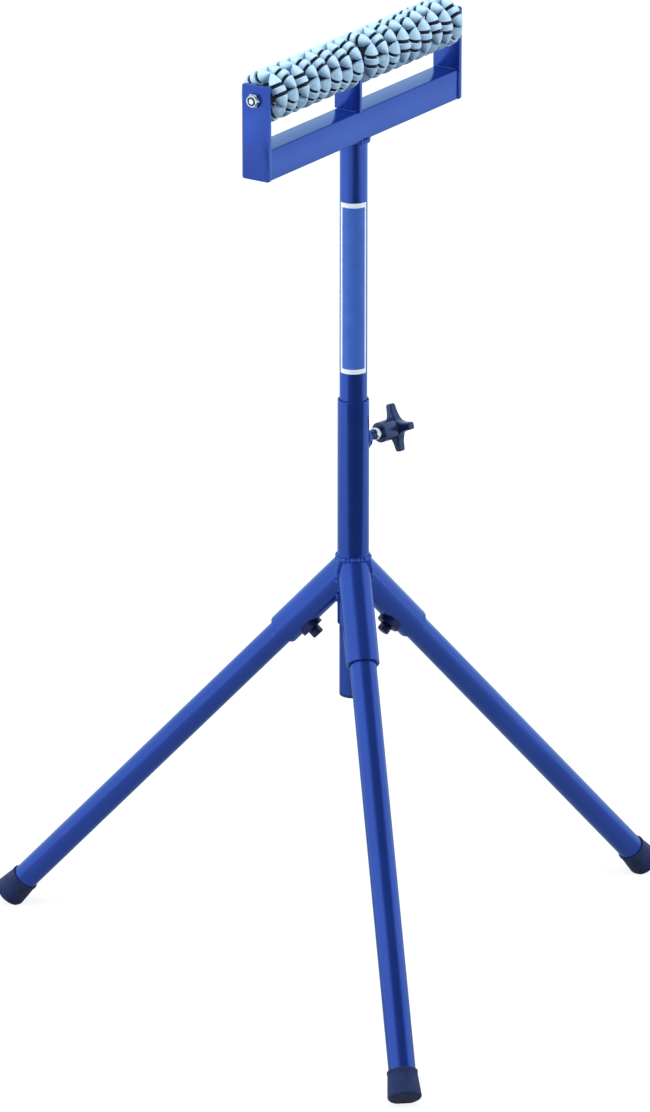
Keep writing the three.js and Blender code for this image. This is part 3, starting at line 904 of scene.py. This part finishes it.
head_bead = 0.0016
weld_inset = 0.002
head_runs = []
for node in ("left_plate", "right_plate", "centre_plate"):
    plate_low, plate_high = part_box(node)
    inner_faces = {"left_plate": [plate_high.x], "right_plate": [plate_low.x]}
    for face_x in inner_faces.get(node, [plate_low.x, plate_high.x]):
        back = Vector((face_x, beam_high.y - weld_inset, beam_high.z))
        front = Vector((face_x, beam_low.y + weld_inset, beam_high.z))
        head_runs.append(straight_run(back, front))
        if node != "centre_plate":
            for side_y in (beam_low.y, beam_high.y):
                below = Vector((face_x, side_y, beam_low.z + weld_inset))
                above = Vector((face_x, side_y, beam_high.z - weld_inset))
                head_runs.append(straight_run(below, above))
lay_bead("head_welds", head_runs, head_bead, "head")

ring_bead = 0.0027
ring_radius = mast_radius * 1.04
ring_height = beam_low.z - 0.0012
ring_ripples = 26
ring_run = []
for step in range(ring_ripples + 1):
    angle = 2 * math.pi * step / ring_ripples
    ring_run.append(Vector((ring_radius * math.cos(angle), ring_radius * math.sin(angle), ring_height)))
mast_weld = lay_bead("mast_weld_ring", [ring_run], ring_bead, "head")
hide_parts("mast_weld")

# Axle. A zinc plated steel rod, threaded at both ends, runs through the three plates and is
# held outside each end plate by a zinc plated lock nut with a black nylon insert in its collar.
axle_low, axle_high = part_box("axle")
axle_height = (axle_low.z + axle_high.z) / 2
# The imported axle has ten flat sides, so the round rod is taller than its box by this share.
round_over_flats = 1.05
axle_radius = (axle_high.z - axle_low.z) / 2 * round_over_flats
axle_half = axle_high.x
axle_pitch = 0.00125
thread_start = axle_half - 0.016
thread_end = axle_half - 0.0024
axle_nose = 0.0028
nose_start = axle_half - 0.0022
nose_edge = 0.0004
axle_place = Matrix.Translation((0, 0, axle_height)) @ Matrix.Rotation(math.pi / 2, 4, "Y")
right_end = thread_rings(axle_radius, thread_start, thread_end, axle_pitch, thread_depth)
right_end += [(axle_nose, nose_start), (axle_nose, axle_half - nose_edge),
              (axle_nose - nose_edge, axle_half), (axis_spot, axle_half)]
axle_rings = [(radius, -height) for radius, height in reversed(right_end)] + right_end
axle = turn("axle_rod", axle_rings, 40)
settle(axle, axle_place)
dress(axle, zinc, "zinc_steel", "head", "axle")

nut_low, nut_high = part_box("right_axle_nut")
nut_width = nut_high.z - nut_low.z
nut_chamfer = 0.0011
collar_start = nut_low.x + 0.0046
collar_end = nut_high.x
nut_model = hexagon_bar("axle_nut", nut_width, nut_low.x, collar_start, nut_chamfer)
bore = add_piece(bpy.ops.mesh.primitive_cylinder_add, "bore", vertices=40, radius=axle_radius + 0.0002,
                 depth=0.05, location=(0, 0, collar_end))
cut_away(nut_model, bore)
soften(nut_model, hexagon_edge)
collar_foot = collar_start - 0.0008
collar_radius = nut_width / 2 * 0.95
collar_round = 0.001
collar_cut = collar_round * round_share
collar_lip = axle_radius + 0.0005
lip_end = collar_end - 0.0002
collar = turn("collar", [(collar_lip, collar_foot), (collar_radius, collar_foot),
                         (collar_radius, collar_end - collar_round),
                         (collar_radius - collar_cut, collar_end - collar_cut),
                         (collar_radius - collar_round, collar_end), (collar_lip, lip_end),
                         (collar_lip, collar_foot)], 60)
join_to(nut_model, collar)
insert_hole = axle_nose + 0.0001
insert_start = axle_half - 0.0021
insert_rim = collar_end - 0.0008
insert_mouth = collar_end - 0.0011
insert_model = turn("nut_insert", [(insert_hole, insert_start), (collar_lip, insert_start),
                                   (collar_lip, insert_rim), (insert_hole, insert_mouth),
                                   (insert_hole, insert_start)], 48)
for node, flip in (("right_axle_nut", 0), ("left_axle_nut", math.pi)):
    nut_place = axle_place @ Matrix.Rotation(flip, 4, "Y")
    nut = copy_piece(nut_model, f"{node}_hex")
    settle(nut, nut_place)
    dress(nut, zinc, "zinc_steel", "head", node)
    insert = copy_piece(insert_model, f"{node}_insert")
    settle(insert, nut_place)
    dress(insert, black_plastic, "black_plastic", "head")
drop(nut_model, insert_model)

# Omni wheels. A moulded core with four arms turns on the axle; its near-black colour is painted
# shade, darkening the crevices between the wheels. Each arm ends in a pale band on a steel pin,
# with a near-black disc and a pale half barrel on either side of it. The disc is painted shade
# that draws the dark gap line beside the band.
wheel_radius = 0.026
barrel_radius = 0.0076
pin_distance = wheel_radius - barrel_radius
band_half = 0.0029
groove = 0.0037
barrel_start = band_half + groove
wheel_hub_radius = 0.009
wheel_hub_half = 0.0093
arm_width = 0.009
wheel_rest_degrees = [28, 63, 28, 66, 53, 67, 54, 64, 90, 52, 72, 5, 84, 6, 19, 6, 41]

wheel_plastic, wheel_tree, wheel_shader = start_finish("pale_blue_nylon")
tint(wheel_tree, wheel_shader, 220, (0.4, 0.595, 0.77), (0.47, 0.665, 0.83))
roughen(wheel_tree, wheel_shader, 420, 0.42, 0.6)
emboss(wheel_tree, wheel_shader, 1800, 0.16, 0.0003)

# Painted shade: the core is coloured near black so that the crevices between the wheels read dark.
core_shade_plastic, core_shade_tree, core_shade_shader = start_finish("painted_shade_core_plastic")
tint(core_shade_tree, core_shade_shader, 300, (0.003, 0.005, 0.014), (0.007, 0.01, 0.024))
roughen(core_shade_tree, core_shade_shader, 500, 0.6, 0.8)


def barrel_at(along):
    return math.sqrt(wheel_radius ** 2 - along ** 2) - pin_distance


tip_radius = 0.0016
barrel_tip = math.sqrt(wheel_radius ** 2 - (pin_distance + tip_radius) ** 2)
barrel_edge = 0.0003
barrel_rings = [(axis_spot, barrel_start), (barrel_at(barrel_start) - barrel_edge, barrel_start)]
side_start = barrel_start + 0.0002
side_steps = 14
for step in range(side_steps + 1):
    along = side_start + (barrel_tip - side_start) * step / side_steps
    barrel_rings.append((barrel_at(along), along))
tip_length = tip_radius * 0.8
tip_bend = math.radians(80)
tip_steps = 4
for step in range(1, tip_steps + 1):
    bend = tip_bend * step / tip_steps
    barrel_rings.append((tip_radius * math.cos(bend), barrel_tip + tip_length * math.sin(bend)))

# The pin of arm zero lies along Y at the top of the wheel, whose axle is X.
pin_place = Matrix.Translation((0, 0, pin_distance)) @ Matrix.Rotation(-math.pi / 2, 4, "X")
hub_bore = axle_radius + 0.0004
hub_edge = 0.0006
wheel_core = turn("wheel_core", [(hub_bore, -wheel_hub_half),
                                 (wheel_hub_radius - hub_edge, -wheel_hub_half),
                                 (wheel_hub_radius, hub_edge - wheel_hub_half),
                                 (wheel_hub_radius, wheel_hub_half - hub_edge),
                                 (wheel_hub_radius - hub_edge, wheel_hub_half), (hub_bore, wheel_hub_half),
                                 (hub_bore, -wheel_hub_half)], 48)
settle(wheel_core, Matrix.Rotation(math.pi / 2, 4, "Y"))

spoke_start = 0.006
spoke_length = pin_distance - spoke_start
spoke_thickness = 2 * band_half - 0.0004
spoke_edge = 0.0006
spoke_model = add_piece(bpy.ops.mesh.primitive_cube_add, "spoke", size=1,
                        location=(0, 0, spoke_start + spoke_length / 2),
                        scale=(arm_width, spoke_thickness, spoke_length))
bpy.ops.object.transform_apply(location=True, rotation=True, scale=True)
soften(spoke_model, spoke_edge)
band_radius = barrel_at(band_half)
band_edge = 0.0004
band_model = turn("band", [(axis_spot, -band_half), (band_radius - band_edge, -band_half),
                           (band_radius, band_edge - band_half), (barrel_radius, 0),
                           (band_radius, band_half - band_edge), (band_radius - band_edge, band_half),
                           (axis_spot, band_half)], 48)
settle(band_model, pin_place)
barrel_model = turn("half_barrel", barrel_rings, 44)
settle(barrel_model, pin_place)
# Painted shade: a near-black washer fills the groove beside each band, drawing its dark gap line. It is
# joined to the core and takes the core's colour.
shade_washer_radius = barrel_at(barrel_start) - 0.0016
shade_washer_start = band_half - 0.0002
shade_washer_end = barrel_start + 0.0002
shade_washer_model = turn("shade_washer", [(axis_spot, shade_washer_start), (shade_washer_radius, shade_washer_start),
                               (shade_washer_radius, shade_washer_end), (axis_spot, shade_washer_end)], 44)
settle(shade_washer_model, pin_place)

mouldings = []
shade_washers = []
for arm in range(4):
    arm_place = Matrix.Rotation(arm * math.pi / 2, 4, "X")
    spoke = copy_piece(spoke_model, "spoke")
    settle(spoke, arm_place)
    cut_away(wheel_core, spoke, "UNION")
    band = copy_piece(band_model, "band")
    settle(band, arm_place)
    mouldings.append(band)
    for half_turn in (0, math.pi):
        side_place = arm_place @ Matrix.Rotation(half_turn, 4, "Z")
        barrel = copy_piece(barrel_model, "half_barrel")
        settle(barrel, side_place)
        mouldings.append(barrel)
        shade_washer = copy_piece(shade_washer_model, "shade_washer")
        settle(shade_washer, side_place)
        shade_washers.append(shade_washer)
wheel_rim = mouldings[0]
join_to(wheel_rim, *mouldings[1:])
join_to(wheel_core, *shade_washers)
drop(spoke_model, band_model, barrel_model, shade_washer_model)

for number, rest in enumerate(wheel_rest_degrees, 1):
    node = f"wheel_{number:02d}"
    wheel_low, wheel_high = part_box(node)
    middle = (wheel_low.x + wheel_high.x) / 2
    place = Matrix.Translation((middle, 0, axle_height)) @ Matrix.Rotation(math.radians(90 - rest), 4, "X")
    rim = copy_piece(wheel_rim, f"{node}_barrels")
    settle(rim, place)
    dress(rim, wheel_plastic, "wheel_plastic", node, node)
    core = copy_piece(wheel_core, f"{node}_core")
    settle(core, place)
    dress(core, core_shade_plastic, "black_plastic", node)
drop(wheel_rim, wheel_core)
